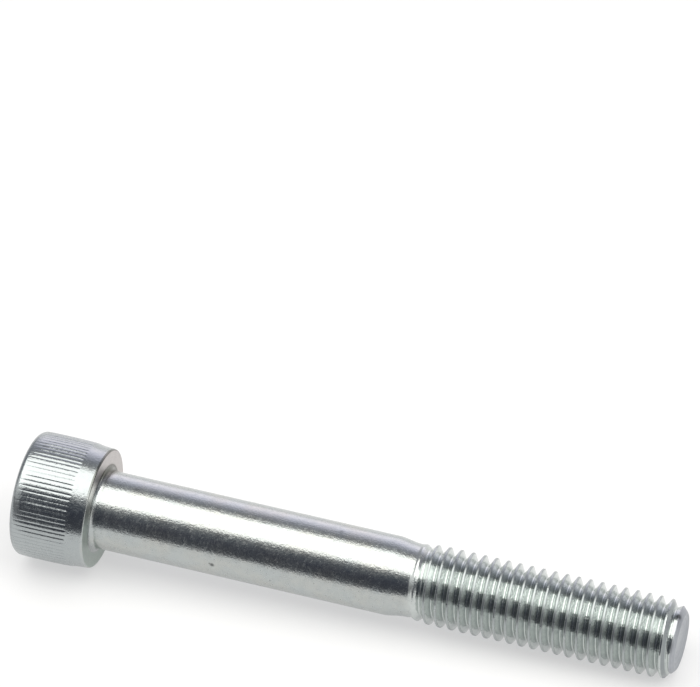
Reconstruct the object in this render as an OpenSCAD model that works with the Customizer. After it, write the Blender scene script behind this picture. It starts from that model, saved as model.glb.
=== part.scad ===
// Hex socket cap screw: a cold-forged and thread-rolled screw, lying on its side as it comes to rest.
// It is built upright first, with the bearing face at zero, the tip up and the head below,
// and laid down last. Millimetres, +Z up, origin on the surface under the middle of the screw.

/* [Shank] */
// Length from the bearing face to the tip
screw_l = 75; // [60:1:110]
// Diameter of the plain shank
shank_d = 9.95; // [9.78:0.01:10]
// Radius of the fillet between the bearing face and the shank
fillet_r = 0.6; // [0.3:0.05:1]
// Diameter of the rolling blank where the shank necks down before the thread
neck_d = 9.2; // [9.0:0.05:9.4]
// Length of the taper from the shank down to the blank
neck_taper_l = 2.2; // [1:0.1:4]

/* [Thread] */
// Outside diameter of the thread
thread_d = 9.97; // [9.8:0.01:10]
// Diameter at the root of the thread
root_d = 8.16; // [8.0:0.01:8.4]
// Pitch of the right-hand thread
pitch = 1.5; // [1.4:0.05:1.75]
// Length of the full thread, measured from the tip
thread_l = 30.5; // [18.5:0.5:44]
// Number of turns over which the thread rises from the blank
runout_turns = 2.25; // [1.5:0.25:3]
// Width of the flat on the crest
crest_w = 0.19; // [0.1:0.01:0.25]
// Place of the crest along the screw on the side that lies lowest
thread_start = 0.38; // [0:0.01:1.5]

/* [Tip] */
// Diameter of the rim inside the end chamfer
tip_d = 7.3; // [6.4:0.1:8]
// Depth of the hollow that rolling leaves in the end face
cup_depth = 0.35; // [0.1:0.05:0.6]
// Radius of the rounded rim round the hollow
rim_r = 0.2; // [0.1:0.05:0.4]

/* [Head] */
// Diameter of the head over the knurl
head_d = 15.9; // [15.7:0.1:16.2]
// Height of the head
head_h = 9.75; // [9.2:0.05:11]
// Radius of the rounded edge on the socket side
crown_r = 1.0; // [0.6:0.05:1.4]
// Diameter of the flat bearing face, with its small rounded edge
bearing_d = 15.25; // [14.6:0.05:15.4]
// Radius of the small edge round the bearing face
bearing_edge_r = 0.2; // [0.1:0.05:0.3]
// Height of the plain band between the knurl and the bearing face
band_h = 2.2; // [1.5:0.1:3]
// Diameter of the plain band where it meets the knurl
band_d = 15.64; // [15.5:0.02:15.7]

/* [Knurl] */
// Number of grooves round the head
knurl_count = 76; // [60:1:90]
// Depth of each groove
knurl_depth = 0.18; // [0.1:0.01:0.3]
// Amount by which the knurl narrows from the socket side to the band
knurl_taper = 0.1; // [0:0.02:0.2]
// Share of the knurl's pitch that stays as a land on each crest
land_share = 0.3; // [0.15:0.05:0.5]
// Length by which the grooves run on into the plain band
groove_runout = 0.06; // [0.02:0.02:0.2]

/* [Socket] */
// Width across the flats of the hexagonal socket
socket_af = 8; // [7:0.1:8.5]
// Depth of the socket down to the end of its flats
socket_depth = 5.4; // [4.6:0.1:6.2]
// Width of the lead-in chamfer outside the corners
lead_in = 0.15; // [0.05:0.01:0.3]
// Included angle of the cone at the bottom of the socket
cone_angle = 120; // [100:5:140]

/* [Hidden] */

shank_r = shank_d / 2;
neck_r = neck_d / 2;
thread_r = thread_d / 2;
root_r = root_d / 2;
tip_r = tip_d / 2;
head_r = head_d / 2;
band_r = band_d / 2;
knurl_end_r = (head_d - knurl_taper) / 2;
bearing_r = bearing_d / 2;

// Steps in a rounded edge, in one turn of the thread and in the round surfaces
ARC_STEPS = 6;
TURN_STEPS = 24;
ROUND_STEPS = 96;
// Length by which a cutting shape stands clear of what it cuts
CLEAR = 0.5;
// Depth by which the thread's root starts under the blank it rises from
SINK = 0.05;
// Slopes of the end chamfer and of the socket's lead-in
CHAMFER_ANGLE = 45;
LEAD_IN_ANGLE = 30;

// Thread section: flanks at sixty degrees between a crest and a root
THREAD_ANGLE = 60;
flank_w = (thread_r - root_r) * tan(THREAD_ANGLE / 2);
root_w = pitch - crest_w - 2 * flank_w;

// Along the screw: the full thread, the turns that rise to it, the blank and the taper
full_thread_z = screw_l - thread_l;
runout_z = full_thread_z - runout_turns * pitch;
neck_z = runout_z - pitch / 2;
taper_z = neck_z - neck_taper_l;
chamfer_h = (thread_r - tip_r) * tan(CHAMFER_ANGLE);

function lerp(a, b, t) = a + (b - a) * t;
function clamp01(t) = max(0, min(1, t));

// Points of an arc round a centre, from one angle to another
function arc(centre, r, from, to) =
    [for (i = [0:ARC_STEPS]) let (a = lerp(from, to, i / ARC_STEPS)) centre + r * [cos(a), sin(a)]];

// Outline of head, shank and neck, as radius against height
blank_outline = concat(
    [[0, -head_h]],
    arc([head_r - crown_r, crown_r - head_h], crown_r, -90, 0),
    [[knurl_end_r, -band_h], [band_r, -band_h]],
    arc([bearing_r - bearing_edge_r, -bearing_edge_r], bearing_edge_r, 0, 90),
    arc([shank_r + fillet_r, fillet_r], fillet_r, 270, 180),
    [[shank_r, taper_z], [neck_r, neck_z], [neck_r, runout_z], [0, runout_z]]
);

module blank() {
    rotate_extrude($fn = ROUND_STEPS) polygon(blank_outline);
}

// One V groove of the knurl in plan, its floor inside the head and its mouth clear outside
groove_slope = PI * head_d / knurl_count * (1 - land_share) / 2 / knurl_depth;
groove_floor_r = head_r - knurl_depth;

module groove_plan() {
    mouth_r = head_r + CLEAR / 2;
    mouth_w = groove_slope * (mouth_r - groove_floor_r);
    polygon([[groove_floor_r, 0], [mouth_r, mouth_w], [mouth_r, -mouth_w]]);
}

module knurl_grooves() {
    for (i = [0:knurl_count - 1])
        rotate([0, 0, i * 360 / knurl_count])
            translate([0, 0, -head_h - CLEAR])
                linear_extrude(head_h + CLEAR - band_h + groove_runout)
                    groove_plan();
}

// Hexagonal socket with a lead-in chamfer and the cone that the punch leaves
module socket() {
    corner_r = socket_af / 2 / cos(30);
    mouth_r = corner_r + lead_in;
    flat_r = socket_af / 2;
    cone_h = flat_r / tan(cone_angle / 2);
    translate([0, 0, -head_h - CLEAR])
        cylinder(h = socket_depth + CLEAR, r = corner_r, $fn = 6);
    translate([0, 0, -head_h + socket_depth])
        cylinder(h = cone_h, r1 = flat_r, r2 = 0, $fn = ROUND_STEPS);
    rotate_extrude($fn = ROUND_STEPS)
        polygon([
            [0, -head_h - CLEAR],
            [mouth_r + CLEAR, -head_h - CLEAR],
            [mouth_r, -head_h],
            [0, -head_h + mouth_r * tan(LEAD_IN_ANGLE)]
        ]);
}

// Height of the thread's crest and root along the screw: both start at the blank
function rise(z) = clamp01((z - runout_z) / (full_thread_z - runout_z));
function crest_at(z) = lerp(neck_r, thread_r, rise(z));
function root_at(z) = lerp(neck_r - SINK, root_r, rise(z));

// Corners of the thread's section in one pitch: where each is, and whether it is on the crest
corners = [
    [-crest_w / 2, true],
    [crest_w / 2, true],
    [crest_w / 2 + flank_w, false],
    [crest_w / 2 + flank_w + root_w, false]
];
corner_count = len(corners);

// The helix starts inside the neck and runs on past the tip, where the end shape cuts it
helix_from = floor((neck_z - thread_start) / pitch - 1) * pitch + thread_start;
helix_turns = ceil((screw_l + CLEAR - helix_from) / pitch) + 1;
last_row = helix_turns * corner_count;
buried_r = neck_r - 2 * SINK;

function helix_point(column, row) =
    let (
        corner = corners[row % corner_count],
        turn = floor(row / corner_count) + column / TURN_STEPS,
        z = helix_from + pitch * turn + corner[0],
        a = 360 * column / TURN_STEPS,
        r = z < runout_z ? buried_r : corner[1] ? crest_at(z) : root_at(z)
    )
    [r * cos(a), r * sin(a), z];

// Index of a point; the column past the last is the first one, a pitch higher
function at(column, row) =
    column < TURN_STEPS ? column * (last_row + 1) + row : row + corner_count;

// Triangles from a centre to each edge of a closed loop of points
function fan(centre, loop) =
    [for (i = [0:len(loop) - 1]) [centre, loop[i], loop[(i + 1) % len(loop)]]];

module threaded_bar() {
    rows_in_last = last_row - corner_count;
    points = [for (c = [0:TURN_STEPS - 1]) for (r = [0:last_row]) helix_point(c, r)];
    centres = [[0, 0, helix_from + pitch / 2], [0, 0, helix_from + pitch * (helix_turns + 0.5)]];
    sides = [
        for (c = [0:TURN_STEPS - 1])
            for (r = [0:(c < TURN_STEPS - 1 ? last_row : rows_in_last) - 1])
                each [
                    [at(c, r), at(c, r + 1), at(c + 1, r + 1)],
                    [at(c, r), at(c + 1, r + 1), at(c + 1, r)]
                ]
    ];
    start_loop = concat(
        [for (c = [0:TURN_STEPS - 1]) at(c, 0)],
        [for (r = [corner_count:-1:1]) at(0, r)]
    );
    end_loop = concat(
        [for (r = [rows_in_last:last_row]) at(TURN_STEPS - 1, r)],
        [for (c = [TURN_STEPS - 2:-1:0]) at(c, last_row)]
    );
    polyhedron(
        points = concat(points, centres),
        faces = concat(sides, fan(len(points), start_loop), fan(len(points) + 1, end_loop))
    );
}

// End of the screw: chamfer at forty-five degrees, rounded rim and shallow hollow
module end_shape() {
    rim_centre = [tip_r - rim_r * tan(CHAMFER_ANGLE / 2), screw_l - rim_r];
    cup_r = rim_centre[0] - rim_r;
    ball_r = (cup_r * cup_r + cup_depth * cup_depth) / (2 * cup_depth);
    cup_angle = asin(cup_r / ball_r);
    rotate_extrude($fn = ROUND_STEPS)
        polygon(concat(
            [
                [0, helix_from - pitch],
                [thread_r + CLEAR, helix_from - pitch],
                [thread_r + CLEAR, screw_l - chamfer_h - CLEAR]
            ],
            arc(rim_centre, rim_r, CHAMFER_ANGLE, 90),
            [for (i = [ARC_STEPS:-1:0])
                let (a = cup_angle * i / ARC_STEPS)
                    [ball_r * sin(a), screw_l - cup_depth + ball_r * (1 - cos(a))]]
        ));
}

module cap_screw_upright() {
    difference() {
        blank();
        knurl_grooves();
        socket();
    }
    intersection() {
        threaded_bar();
        end_shape();
    }
}

// Lying pose: the head rests on two lands of the knurl and the thread on its last full crest
rest_head_z = -band_h;
rest_head_r = knurl_end_r * cos((1 - land_share) * 180 / knurl_count);
rest_crest_z = floor((screw_l - chamfer_h - thread_start) / pitch) * pitch + thread_start;
lie_angle = atan((rest_head_r - thread_r) / (rest_crest_z - rest_head_z));
axis_h = rest_head_r * cos(lie_angle) + rest_head_z * sin(lie_angle);
left_x = -head_h * cos(lie_angle) - (head_r - crown_r) * sin(lie_angle);
right_x = screw_l * cos(lie_angle) + tip_r * sin(lie_angle);

module cap_screw() {
    color("silver")
        translate([-(left_x + right_x) / 2, 0, axis_h])
            rotate([0, 90 + lie_angle, 0])
                cap_screw_upright();
}

cap_screw();
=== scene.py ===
import math

import bmesh
import bpy
import numpy as np
from mathutils import Matrix, Vector


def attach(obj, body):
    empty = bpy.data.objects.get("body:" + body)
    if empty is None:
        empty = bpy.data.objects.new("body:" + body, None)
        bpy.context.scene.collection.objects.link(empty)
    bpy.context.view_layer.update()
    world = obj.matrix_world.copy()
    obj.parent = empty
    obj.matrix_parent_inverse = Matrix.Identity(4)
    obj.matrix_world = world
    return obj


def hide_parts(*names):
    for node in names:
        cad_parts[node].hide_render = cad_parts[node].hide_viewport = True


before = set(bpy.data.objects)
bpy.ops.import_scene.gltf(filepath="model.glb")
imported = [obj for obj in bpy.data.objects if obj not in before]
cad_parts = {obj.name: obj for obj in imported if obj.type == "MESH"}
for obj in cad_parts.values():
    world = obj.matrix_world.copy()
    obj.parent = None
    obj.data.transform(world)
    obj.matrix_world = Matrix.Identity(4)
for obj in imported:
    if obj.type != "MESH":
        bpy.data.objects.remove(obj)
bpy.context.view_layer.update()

# Shape of the screw.
# One piece of steel: the head and shank are cold forged, the knurl and the thread are rolled.
# It is modelled along its own axis in millimetres, from the bearing face (0) to the tip (75).
MM = 0.001
HEAD_TOP = -9.75
TIP = 75.0
KNURL_R = 7.95
SHANK_R = 4.975
BLANK_R = 4.6
CHAMFER_R_AT_TIP = 3.64
PITCH = 1.5
CREST_START = 0.38
GROOVES = 76
POINTS_PER_GROOVE = 8
FINE = GROOVES * POINTS_PER_GROOVE
ROUND = FINE // 4
SOCKET_STEPS = 144
SOCKET_AF = 8.0
SOCKET_DEPTH = 5.4
SOCKET_LEAD_IN = 0.15

points = []
faces = []


def ring(radius, height, angles):
    """Adds a closed ring of points. Radius and height are numbers or one value a point."""
    radius = np.broadcast_to(radius, angles.shape)
    height = np.broadcast_to(height, angles.shape)
    first = len(points)
    for r, z, a in zip(radius, height, angles):
        points.append((r * math.cos(a), r * math.sin(a), z))
    return list(range(first, len(points)))


def join(one, other):
    """Closes the gap between two rings from the same angle, also when their counts differ."""
    n, m = len(one), len(other)
    if n == m:
        for i in range(n):
            j = (i + 1) % n
            faces.append((one[i], one[j], other[j], other[i]))
        return
    i = j = 0
    while i < n or j < m:
        if j >= m or (i < n and (i + 1) / n <= (j + 1) / m):
            faces.append((one[i % n], one[(i + 1) % n], other[j % m]))
            i += 1
        else:
            faces.append((one[i % n], other[(j + 1) % m], other[j % m]))
            j += 1


def arc(centre_r, centre_z, radius, start, end, steps):
    """Radius and height along an arc, with the angle in degrees from the outward direction."""
    turns = np.radians(np.linspace(start, end, steps + 1))
    return [(centre_r + radius * math.cos(t), centre_z + radius * math.sin(t)) for t in turns]


def soft_min(a, b, k):
    """The lower of two values, with the corner where they meet rounded over k."""
    h = np.maximum(k - np.abs(a - b), 0) / k
    return np.minimum(a, b) - h * h * k / 4


# Angles round the knurl: the floor, flanks and land of each groove have points of their own.
# The grooves differ a little in depth, so they catch the light unevenly.
GROOVE_DEPTHS = (0.025, 0.05)
FLANK_RISE = 0.036
FLANK_SHARE = 0.165
FLOOR_ROUND = 0.04
LAND_ROUND = 0.015
across = np.array([0, 0.08, 0.16, 0.25, 0.5, 0.75, 0.84, 0.92])
knurl_angles = (np.arange(GROOVES)[:, None] + across[None, :]).ravel() * 2 * math.pi / GROOVES
groove_share = np.tile(np.minimum(across, 1 - across), GROOVES)
groove_depth = np.repeat(np.random.default_rng(5).uniform(*GROOVE_DEPTHS, GROOVES), len(across))
up_flank = np.sqrt(groove_share**2 + FLOOR_ROUND**2) - FLOOR_ROUND
groove_r = KNURL_R - groove_depth + FLANK_RISE * up_flank / FLANK_SHARE
round_angles = np.arange(ROUND) * 2 * math.pi / ROUND
socket_angles = np.arange(SOCKET_STEPS) * 2 * math.pi / SOCKET_STEPS

# Hexagonal socket, from the middle of its floor up to the mouth with its lead-in.
flat = SOCKET_AF / 2
socket_end = HEAD_TOP + SOCKET_DEPTH
cone_h = flat / math.tan(math.radians(60))
mouth_r = flat / math.cos(math.radians(30)) + SOCKET_LEAD_IN
hexagon = flat / np.cos((socket_angles + math.pi / 6) % (math.pi / 3) - math.pi / 6)
centre = len(points)
points.append((0, 0, socket_end + cone_h))
rings = []
for k in (1, 2, 3, 4):
    rings.append(ring(flat * k / 4, socket_end + cone_h * (1 - k / 4), socket_angles))
rings.append(ring(hexagon, socket_end, socket_angles))
lead_in = HEAD_TOP + (mouth_r - hexagon) * math.tan(math.radians(30))
for k in (1, 2, 3):
    rings.append(ring(hexagon, socket_end + (lead_in - socket_end) * k / 3, socket_angles))
rings.append(ring(mouth_r, HEAD_TOP, socket_angles))
rings.append(ring(6.6, HEAD_TOP, socket_angles))
for i in range(SOCKET_STEPS):
    faces.append((centre, rings[0][(i + 1) % SOCKET_STEPS], rings[0][i]))

# Head: rounded edge, knurl, plain band and the small edge round the bearing face.
# The head tapers a little towards the band, and the grooves follow that from KNURL_STRAIGHT_TO.
HEAD_ROUND = 0.9
KNURL_STRAIGHT_TO = -7
head = arc(7.02, HEAD_TOP + HEAD_ROUND, HEAD_ROUND, -90, -12, 8)
head += [(7.94, -8.3), (KNURL_R, -7.4), (7.955, -6.2), (KNURL_R, -5.0)]
head += [(7.93, -4.0), (7.9, -3.0), (7.87, -2.5), (7.86, -2.3)]
for r, z in head:
    floor_r = groove_r if z < KNURL_STRAIGHT_TO else groove_r + r - KNURL_R
    rings.append(ring(soft_min(np.full(FINE, r), floor_r, LAND_ROUND), z, knurl_angles))
band = [(7.83, -2.22), (7.8, -2.1), (7.715, -1.5), (7.665, -0.9), (7.63, -0.24)]
band += arc(7.42, -0.2, 0.2, 0, 90, 5)
for r, z in band:
    rings.append(ring(r, z, knurl_angles))

# Bearing face, fillet, plain shank and the taper down to the blank that the thread is rolled on.
FILLET_R = 0.6
rings.append(ring(7.2, 0, round_angles))
body = [(6.4, 0)] + arc(SHANK_R + FILLET_R, FILLET_R, FILLET_R, 270, 180, 9)
body += [(SHANK_R, z) for z in np.linspace(2, 37.4, 24)]
body += [(4.972, 37.9), (4.962, 38.2), (4.935, 38.5), (4.86, 38.95)]
body += [(4.76, 39.5), (4.67, 40.0), (4.62, 40.4), (BLANK_R, 40.8)]
for r, z in body:
    rings.append(ring(r, z, round_angles))
for one, other in zip(rings, rings[1:]):
    join(one, other)

# Thread: rows of points follow the helix, so each crest and flank has its own row of faces.
# The crest rises out of the blank over the first turns and dies away on the end chamfer.
THREAD_FROM = 40.9
THREAD_TO = 74.6
CREST_FLAT = 0.065
CREST_ROUND = 0.07
ROOT_ROUND = 0.15
RISE_Z = [40.9, 41.4, 42.9, 44.4]
RISE_CREST_R = [BLANK_R, 4.7, 4.9, 4.985]
RISE_ROOT_R = [BLANK_R, 4.5, 4.2, 4.04]
CREST_SINKS_FROM = 72.0
CREST_SINKS_BY = 0.09
CHAMFER_ROUND = 0.04
HALF_ROWS = [0.05, 0.07, 0.1, 0.1256, 0.14, 0.605, 0.62, 0.66, 0.705]
ROWS = np.array([-0.75] + [-x for x in reversed(HALF_ROWS)] + HALF_ROWS)
CLOSE = 0.01


def thread_radius(z, angle):
    """Radius of the thread at a height and an angle."""
    crest = CREST_START + PITCH * angle / (2 * math.pi)
    away = np.abs((z - crest + PITCH / 2) % PITCH - PITCH / 2)
    slope = math.sqrt(3)
    crest_end = CREST_FLAT + CREST_ROUND * slope / 2
    root_from = PITCH / 2 - ROOT_ROUND * slope / 2
    depth = CREST_ROUND / 2 + (root_from - crest_end) * slope + ROOT_ROUND / 2
    bend = np.maximum(away - CREST_FLAT, 0)
    crest_drop = CREST_ROUND - np.sqrt(np.maximum(CREST_ROUND**2 - bend**2, 0))
    flank_drop = CREST_ROUND / 2 + (away - crest_end) * slope
    root_bend = PITCH / 2 - away
    root_drop = depth - ROOT_ROUND + np.sqrt(np.maximum(ROOT_ROUND**2 - root_bend**2, 0))
    flank_or_root = np.where(away < root_from, flank_drop, root_drop)
    share = 1 - np.where(away < crest_end, crest_drop, flank_or_root) / depth
    top = np.interp(z, RISE_Z, RISE_CREST_R)
    bottom = np.interp(z, RISE_Z, RISE_ROOT_R)
    top = top - CREST_SINKS_BY * np.maximum(z - CREST_SINKS_FROM, 0)
    chamfer = CHAMFER_R_AT_TIP + TIP - z
    return soft_min(bottom + (top - bottom) * share, chamfer, CHAMFER_ROUND)


turns = int((THREAD_TO - THREAD_FROM) / PITCH) + 3
first_turn = math.floor((THREAD_FROM - CREST_START) / PITCH) - 1
rows = (np.arange(turns)[:, None] * PITCH + ROWS[None, :]).ravel()
rows = rows + first_turn * PITCH + CREST_START
start = ring(BLANK_R, THREAD_FROM, round_angles)
end = ring(CHAMFER_R_AT_TIP + TIP - THREAD_TO, THREAD_TO, round_angles)
join(rings[-1], start)
columns = []
for c, angle in enumerate(round_angles):
    heights = rows + PITCH * c / ROUND
    radii = thread_radius(heights, angle)
    column = []
    for r, z in zip(radii, heights):
        if z <= THREAD_FROM + CLOSE:
            column.append(start[c])
        elif z >= THREAD_TO - CLOSE:
            column.append(end[c])
        else:
            points.append((r * math.cos(angle), r * math.sin(angle), z))
            column.append(len(points) - 1)
    columns.append(column)

# One turn on, the first column has climbed by a pitch, so the last joins it a turn higher.
columns.append(columns[0][len(ROWS):] + [end[0]] * len(ROWS))
for here, beside in zip(columns, columns[1:]):
    for k in range(len(here) - 1):
        corners = [here[k], beside[k], beside[k + 1], here[k + 1]]
        corners = [p for i, p in enumerate(corners) if p not in corners[:i]]
        if len(corners) > 2:
            faces.append(tuple(corners))

# Tip: the end chamfer, the rounded rim and the hollow that rolling leaves in the end face.
HOLLOW_Z = 74.63
tip = [(3.84, 74.8)] + arc(3.51, 74.83, 0.17, 45, 90, 3)
tip += [(3.44, 74.985), (3.34, 74.94), (3.1, 74.87), (2.7, 74.79)]
tip += [(2.1, 74.71), (1.4, 74.66), (0.7, 74.635)]
last = end
for r, z in tip:
    here = ring(r, z, round_angles)
    join(last, here)
    last = here
points.append((0, 0, HOLLOW_Z))
for i in range(ROUND):
    faces.append((last[i], last[(i + 1) % ROUND], len(points) - 1))

mesh = bpy.data.meshes.new("cap_screw_finished")
mesh.from_pydata([tuple(MM * v for v in p) for p in points], [], faces)
build = bmesh.new()
build.from_mesh(mesh)
bmesh.ops.recalc_face_normals(build, faces=build.faces)
build.to_mesh(mesh)
build.free()
mesh.shade_smooth()
mesh.set_sharp_from_angle(angle=math.radians(34))

# It lies on the knurl's edge and on the last crests, so its axis slopes a little towards the tip.
BEARING_CENTRE = (-0.032536, 0.0, 0.007805)
LAID_DOWN = math.radians(90 + 2.2376)
mesh.transform(Matrix.Translation(BEARING_CENTRE) @ Matrix.Rotation(LAID_DOWN, 4, "Y"))
screw = bpy.data.objects.new("cap_screw_finished", mesh)
bpy.context.scene.collection.objects.link(screw)
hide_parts("cap_screw")
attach(screw, "root")


# Finish of the screw.
# Bright zinc plating with a clear blue passivation over rolled steel: satin, a little mottled,
# with grey rings on the bearing face where the head was formed and painted shade in the grooves.
def colour(code):
    """A colour written as in a paint program, as the linear values that Blender uses."""
    parts = [int(code[i:i + 2], 16) / 255 for i in (1, 3, 5)]
    return [p / 12.92 if p <= 0.04045 else ((p + 0.055) / 1.055) ** 2.4 for p in parts] + [1.0]


def add(tree, kind, inputs=None, **settings):
    """Adds a node, sets what it is given and links the inputs that are outputs of other nodes."""
    made = tree.nodes.new("ShaderNode" + kind)
    for name, value in settings.items():
        setattr(made, name, value)
    for name, value in (inputs or {}).items():
        if isinstance(value, bpy.types.NodeSocket):
            tree.links.new(value, made.inputs[name])
        else:
            made.inputs[name].default_value = value
    return made


def calculate(tree, operation, *values):
    """A Math node's output."""
    return add(tree, "Math", dict(enumerate(values)), operation=operation).outputs[0]


def times(tree, value, *others):
    """All the values multiplied."""
    for other in others:
        value = calculate(tree, "MULTIPLY", value, other)
    return value


def between(tree, value, low, high):
    """Nought below low, one above high and a smooth step between."""
    made = add(tree, "MapRange", {0: value, 1: low, 2: high}, interpolation_type="SMOOTHSTEP")
    return made.outputs[0]


def until(tree, value, low, high):
    """One below low, nought above high and a smooth step between."""
    return calculate(tree, "SUBTRACT", 1.0, between(tree, value, low, high))


def blend(tree, share, one, other):
    """One colour turned into the other by the share."""
    made = add(tree, "Mix", {0: share, 6: one, 7: other}, data_type="RGBA")
    return made.outputs[2]


def tint(tree, under, where, strength, code):
    """A colour laid over the one under it where the mask says, at a strength up to one."""
    return blend(tree, times(tree, where, strength), under, colour(code))


def noise(tree, where, per_mm, **settings):
    """A noise whose marks are about one divided by per_mm wide, in millimetres."""
    inputs = {"Vector": where, "Scale": per_mm}
    inputs.update({name.capitalize(): value for name, value in settings.items()})
    return add(tree, "TexNoise", inputs).outputs[0]


zinc = bpy.data.materials.new("zinc_plated_steel")
zinc.use_nodes = True
tree = zinc.node_tree
tree.nodes.clear()

# The patterns are placed in the screw's own upright millimetres, as the shape is.
upright = {
    "Vector": add(tree, "TexCoord").outputs["Object"],
    "Location": BEARING_CENTRE,
    "Rotation": (0.0, LAID_DOWN, 0.0),
    "Scale": (MM, MM, MM),
}
place = add(tree, "Mapping", upright, vector_type="TEXTURE").outputs[0]
own_x, own_y, along = add(tree, "SeparateXYZ", {0: place}).outputs
squares = calculate(tree, "ADD", times(tree, own_x, own_x), times(tree, own_y, own_y))
from_axis = calculate(tree, "SQRT", squares)
side = calculate(tree, "SUBTRACT", own_y, own_x)

# Clouds about 4.5 mm wide and mottles of 0.8 mm keep the plating from looking like plastic.
# Its crystals are finer than the eye sees, so the grain that breaks up the mirror images is
# drawn at 0.25 mm and the speckle that dulls them at 0.45 mm, as coarse as they need to show.
cloud = noise(tree, place, 0.22, detail=3.0, roughness=0.55)
mottle = noise(tree, place, 1.3, detail=2.0)
grain = noise(tree, place, 4.0, detail=1.0, roughness=0.6)
speckle = noise(tree, place, 2.2, detail=2.0, roughness=0.6)

# The head is a little greyer than the shank, and the thread is paler.
base = blend(tree, between(tree, cloud, 0.35, 0.65), colour("#b1b6b6"), colour("#b5b7b4"))
base = blend(tree, between(tree, along, -0.5, -0.1), colour("#a8adae"), base)
base = blend(tree, between(tree, along, 40.5, 42.5), base, colour("#c8cdcb"))
base = tint(tree, base, between(tree, mottle, 0.35, 0.7), 0.2, "#a0a7a9")

# Bearing face: grey rings from forming, about 0.25 mm wide, on a face that is warmer above and
# green-grey below. The green-grey is partly passivation colour and partly a painted reflection of
# the shank and thread beside it.
ring_place = add(tree, "CombineXYZ", {0: from_axis, 1: 0.0, 2: 0.0}).outputs[0]
ring_marks = noise(tree, ring_place, 4.0, detail=3.0)
on_face = times(tree, between(tree, along, -0.05, -0.01), until(tree, along, 0.01, 0.05))
on_face = times(tree, on_face, between(tree, from_axis, 5.55, 5.65))
face_tone_and_painted_reflection = blend(tree, between(tree, side, -5.0, 5.0), colour("#afbab3"), colour("#c3bdbb"))
face_tone_and_painted_reflection = tint(tree, face_tone_and_painted_reflection, between(tree, ring_marks, 0.4, 0.65), 0.3, "#a5a5a3")
base = blend(tree, times(tree, on_face, 0.9), base, face_tone_and_painted_reflection)

# Painted reflection: the fillet is darkened on its upper side, where it would mirror the dark
# room. The edge of the bearing face is also darker on the upper side.
near_face = times(tree, between(tree, along, -0.32, -0.24), until(tree, along, 0.5, 0.9))
fillet_painted_reflection = times(tree, until(tree, from_axis, 5.6, 5.9), between(tree, side, 4.0, 6.2))
on_edge = times(tree, between(tree, from_axis, 7.4, 7.5), between(tree, side, 0.0, 4.0), 0.8)
painted_reflection_and_dark_edge = times(tree, near_face, calculate(tree, "ADD", fillet_painted_reflection, on_edge))
base = tint(tree, base, painted_reflection_and_dark_edge, 0.85, "#44443a")

# Knurl: painted shade darkens the grooves, strongest along their floors.
groove = times(tree, calculate(tree, "ARCTAN2", own_y, own_x), GROOVES / (2 * math.pi))
painted_groove_shade = until(tree, calculate(tree, "PINGPONG", groove, 0.5), 0.03, 0.14)
on_knurl = times(tree, until(tree, along, -2.5, -2.25), between(tree, from_axis, 7.6, 7.75))
base = tint(tree, base, times(tree, painted_groove_shade, on_knurl), 0.25, "#6f767a")

# Thread: handling has dulled the crests, and the roots are a little darker.
on_thread = between(tree, along, 41, 43)
on_crest = times(tree, on_thread, between(tree, from_axis, 4.8, 4.93))
in_root = times(tree, on_thread, until(tree, from_axis, 4.1, 4.5))
base = tint(tree, base, on_crest, 0.6, "#8f9597")
base = tint(tree, base, in_root, 0.35, "#969e9c")

# End of the thread: the chamfer and rim are duller than the thread, and so is the flank after
# the last whole crest. Turns are counted along the helix from where the crest starts.
LAST_CREST = 48.5
chamfer_level = calculate(tree, "ADD", from_axis, along)
off_chamfer = calculate(tree, "SUBTRACT", chamfer_level, CHAMFER_R_AT_TIP + TIP)
off_chamfer = calculate(tree, "ABSOLUTE", off_chamfer)
on_chamfer = times(tree, between(tree, along, 73.5, 73.7), until(tree, off_chamfer, 0.05, 0.12))
on_end = calculate(tree, "MAXIMUM", on_chamfer, between(tree, along, 74.5, 74.7))
angle = calculate(tree, "ARCTAN2", times(tree, own_y, -1.0), times(tree, own_x, -1.0))
turned = calculate(tree, "DIVIDE", angle, 2 * math.pi)
risen = calculate(tree, "DIVIDE", calculate(tree, "SUBTRACT", along, CREST_START), PITCH)
coil = calculate(tree, "SUBTRACT", risen, turned)
past_crest = between(tree, coil, LAST_CREST + 0.04, LAST_CREST + 0.12)
before_root = until(tree, coil, LAST_CREST + 0.28, LAST_CREST + 0.4)
base = tint(tree, base, times(tree, past_crest, before_root), 0.8, "#7b8184")
base = tint(tree, base, on_end, 0.7, "#acaeb6")
end_rings = times(tree, on_end, between(tree, ring_marks, 0.45, 0.6))
base = tint(tree, base, end_rings, 0.3, "#83878a")

# Head: painted reflection, a grey edge where the rounding meets the socket side, darkened as if
# it mirrored something dark.
base = tint(tree, base, until(tree, along, -9.6, -9.0), 0.5, "#72777b")

# A dark pit and some finer specks in the shank, and a nick on the end chamfer, each as degrees
# round the axis, height, radius it sits at, size and strength.
pits = None
for around, height, radius, size, strength in (
    (271.5, 16.15, SHANK_R, 0.28, 1.0),
    (270.0, 15.85, SHANK_R, 0.16, 0.7),
    (277.0, 23.7, SHANK_R, 0.12, 0.5),
    (262.0, 29.4, SHANK_R, 0.1, 0.4),
    (172.0, 31.2, SHANK_R, 0.3, 0.45),
    (183.0, 4.8, SHANK_R, 0.3, 0.35),
    (178.0, 74.45, 4.17, 0.42, 1.0),
):
    round_axis = math.radians(around)
    spot = (radius * math.cos(round_axis), radius * math.sin(round_axis), height)
    away = add(tree, "VectorMath", {0: place, 1: spot}, operation="DISTANCE").outputs[1]
    pit = times(tree, until(tree, away, size * 0.3, size * 1.5), strength)
    pits = pit if pits is None else calculate(tree, "MAXIMUM", pits, pit)
base = tint(tree, base, pits, 0.8, "#3e4042")

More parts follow.
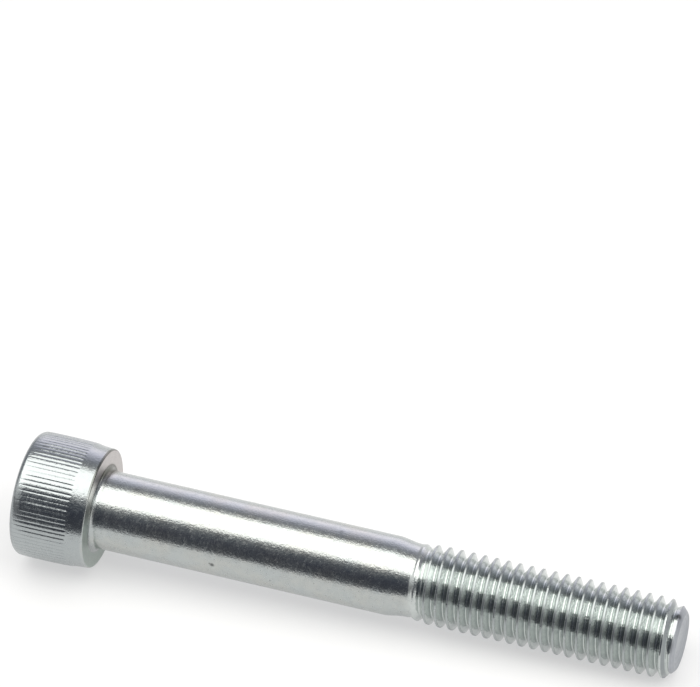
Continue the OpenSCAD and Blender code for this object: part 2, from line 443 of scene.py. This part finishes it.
# Satin with clear mirror images: sharper on the thread, and duller on the bearing face, the
# crests and the end. The bump is deep enough for the grain to roughen the bands' edges.
rough = add(tree, "MapRange", {0: mottle, 1: 0.25, 2: 0.75, 3: 0.17, 4: 0.26}).outputs[0]
dulled = calculate(tree, "MAXIMUM", on_face, on_crest)
for where, more in ((dulled, 0.15), (on_thread, -0.07), (on_end, 0.32)):
    rough = calculate(tree, "ADD", rough, times(tree, where, more))
rough = calculate(tree, "ADD", rough, times(tree, between(tree, speckle, 0.5, 0.7), 0.08))
bump = {"Strength": 0.8, "Distance": 0.024 * MM, "Height": grain}
metal = {
    "Base Color": base,
    "Metallic": 1.0,
    "Roughness": rough,
    "Normal": add(tree, "Bump", bump).outputs[0],
}
shader = add(tree, "BsdfPrincipled", metal)
add(tree, "OutputMaterial", {"Surface": shader.outputs[0]})
mesh.materials.append(zinc)

# Table.
# A plain white floor. What its paint lacks to white is added for the eye and for reflections,
# so the screw's soft shadow stays on it.
TABLE_PAINT = 0.4
TABLE_LIFT = 0.51
bpy.ops.mesh.primitive_plane_add(size=1.0, location=(0.05, 0.44, 0))
floor = bpy.context.object
floor.name = "table"
floor.scale = (0.9, 1.0, 1.0)
white = bpy.data.materials.new("table_white")
white.use_nodes = True
tree = white.node_tree
tree.nodes.clear()
path = add(tree, "LightPath").outputs
seen = calculate(tree, "MAXIMUM", path["Is Glossy Ray"], path["Is Transmission Ray"])
seen = calculate(tree, "MAXIMUM", path["Is Camera Ray"], seen)
paint = add(tree, "BsdfDiffuse", {"Color": (TABLE_PAINT, TABLE_PAINT, TABLE_PAINT, 1.0)})
lift = {"Color": (1.0, 1.0, 1.0, 1.0), "Strength": times(tree, seen, TABLE_LIFT)}
both = add(tree, "AddShader", {0: paint.outputs[0], 1: add(tree, "Emission", lift).outputs[0]})
add(tree, "OutputMaterial", {"Surface": both.outputs[0]})
floor.data.materials.append(white)

# Light.
# A broad soft panel hangs overhead. The backdrop behind the screw is pale, and the room on the
# camera's side is dark, so the metal shows a light and a dark band along its length.
panel_data = bpy.data.lights.new("overhead_panel", "AREA")
panel_data.shape = "RECTANGLE"
panel_data.size = 1.05
panel_data.size_y = 0.64
panel_data.energy = 4.85
panel_data.color = (1.0, 0.985, 0.945)
panel = bpy.data.objects.new("overhead_panel", panel_data)
panel.location = (0, -0.04, 0.62)
bpy.context.scene.collection.objects.link(panel)

world = bpy.data.worlds.new("studio")
bpy.context.scene.world = world
world.use_nodes = True
tree = world.node_tree
tree.nodes.clear()
generated = add(tree, "TexCoord").outputs["Generated"]
toward_x, toward_y, toward_z = add(tree, "SeparateXYZ", {0: generated}).outputs
over = calculate(tree, "ARCTAN2", toward_z, times(tree, toward_y, -1.0))
turn = calculate(tree, "DIVIDE", over, math.pi)


def strip(stops):
    """The room's brightness from the front horizon (0) over the screw to the back horizon (1)."""
    ramp = add(tree, "ValToRGB", {0: turn})
    while len(ramp.color_ramp.elements) < len(stops):
        ramp.color_ramp.elements.new(0.5)
    for element, (where, r, g, b) in zip(ramp.color_ramp.elements, stops):
        element.position = where
        element.color = (r, g, b, 1.0)
    return ramp.outputs[0]


middle = strip([
    (0.0, 0.1, 0.105, 0.12),
    (0.04, 0.07, 0.075, 0.09),
    (0.15, 0.055, 0.06, 0.085),
    (0.24, 0.1, 0.115, 0.14),
    (0.34, 0.3, 0.3, 0.3),
    (0.66, 0.3, 0.3, 0.3),
    (0.74, 0.3, 0.31, 0.35),
    (0.8, 0.66, 0.66, 0.76),
    (0.88, 1.35, 1.3, 1.48),
    (0.95, 1.75, 1.65, 1.75),
    (1.0, 1.35, 1.3, 1.36),
])
left = strip([
    (0.0, 0.4, 0.4, 0.41),
    (0.06, 0.22, 0.22, 0.23),
    (0.15, 0.5, 0.5, 0.5),
    (0.24, 0.9, 0.9, 0.9),
    (0.35, 1.3, 1.3, 1.28),
    (0.46, 1.1, 1.1, 1.08),
    (0.58, 0.38, 0.38, 0.4),
    (0.68, 0.35, 0.36, 0.39),
    (0.8, 0.4, 0.41, 0.45),
    (0.93, 0.55, 0.55, 0.59),
    (1.0, 0.65, 0.65, 0.69),
])
right = strip([
    (0.0, 0.45, 0.45, 0.46),
    (0.1, 0.15, 0.155, 0.17),
    (0.25, 0.17, 0.175, 0.19),
    (0.42, 2.4, 2.4, 2.34),
    (0.52, 2.5, 2.5, 2.44),
    (0.62, 0.35, 0.35, 0.38),
    (0.8, 0.28, 0.28, 0.31),
    (1.0, 0.3, 0.3, 0.33),
])
to_left = between(tree, times(tree, toward_x, -1.0), 0.3, 0.5)
to_right = between(tree, toward_x, 0.2, 0.7)
room = blend(tree, to_right, blend(tree, to_left, middle, left), right)

# The backdrop is white for the eye. To the metal the world shows the room, which is what gives
# it the dark bands of the photograph.
path = add(tree, "LightPath").outputs
seen = calculate(tree, "MAXIMUM", path["Is Camera Ray"], path["Is Transmission Ray"])
sky = blend(tree, seen, room, (1.0, 1.0, 1.0, 1.0))
back = add(tree, "Background", {"Color": sky, "Strength": 1.0})
add(tree, "OutputWorld", {"Surface": back.outputs[0]})

# Camera.
# The photograph's viewing angle, through a long lens from above the screw's side.
AZIMUTH = math.radians(-20.2056)
HEIGHT_ANGLE = math.radians(42.7096)
ROLL = math.radians(-3.2356)
level = math.cos(HEIGHT_ANGLE)
ahead = Vector((math.sin(AZIMUTH) * level, math.cos(AZIMUTH) * level, -math.sin(HEIGHT_ANGLE)))
rightward = Vector((math.cos(AZIMUTH), -math.sin(AZIMUTH), 0))
down = ahead.cross(rightward)
turned_right = math.cos(ROLL) * rightward - math.sin(ROLL) * down
turned_up = -(math.sin(ROLL) * rightward + math.cos(ROLL) * down)
camera_data = bpy.data.cameras.new("camera")
camera_data.sensor_fit = "HORIZONTAL"
camera_data.sensor_width = 36.0
camera_data.lens = 275.27
camera_data.clip_start = 0.01
camera_data.clip_end = 10.0
camera = bpy.data.objects.new("camera", camera_data)
pose = Matrix((turned_right, turned_up, -ahead)).transposed().to_4x4()
pose.translation = (0.163, -0.43856, 0.47576)
camera.matrix_world = pose
bpy.context.scene.collection.objects.link(camera)
bpy.context.scene.camera = camera
bpy.context.scene.view_settings.view_transform = "Standard"
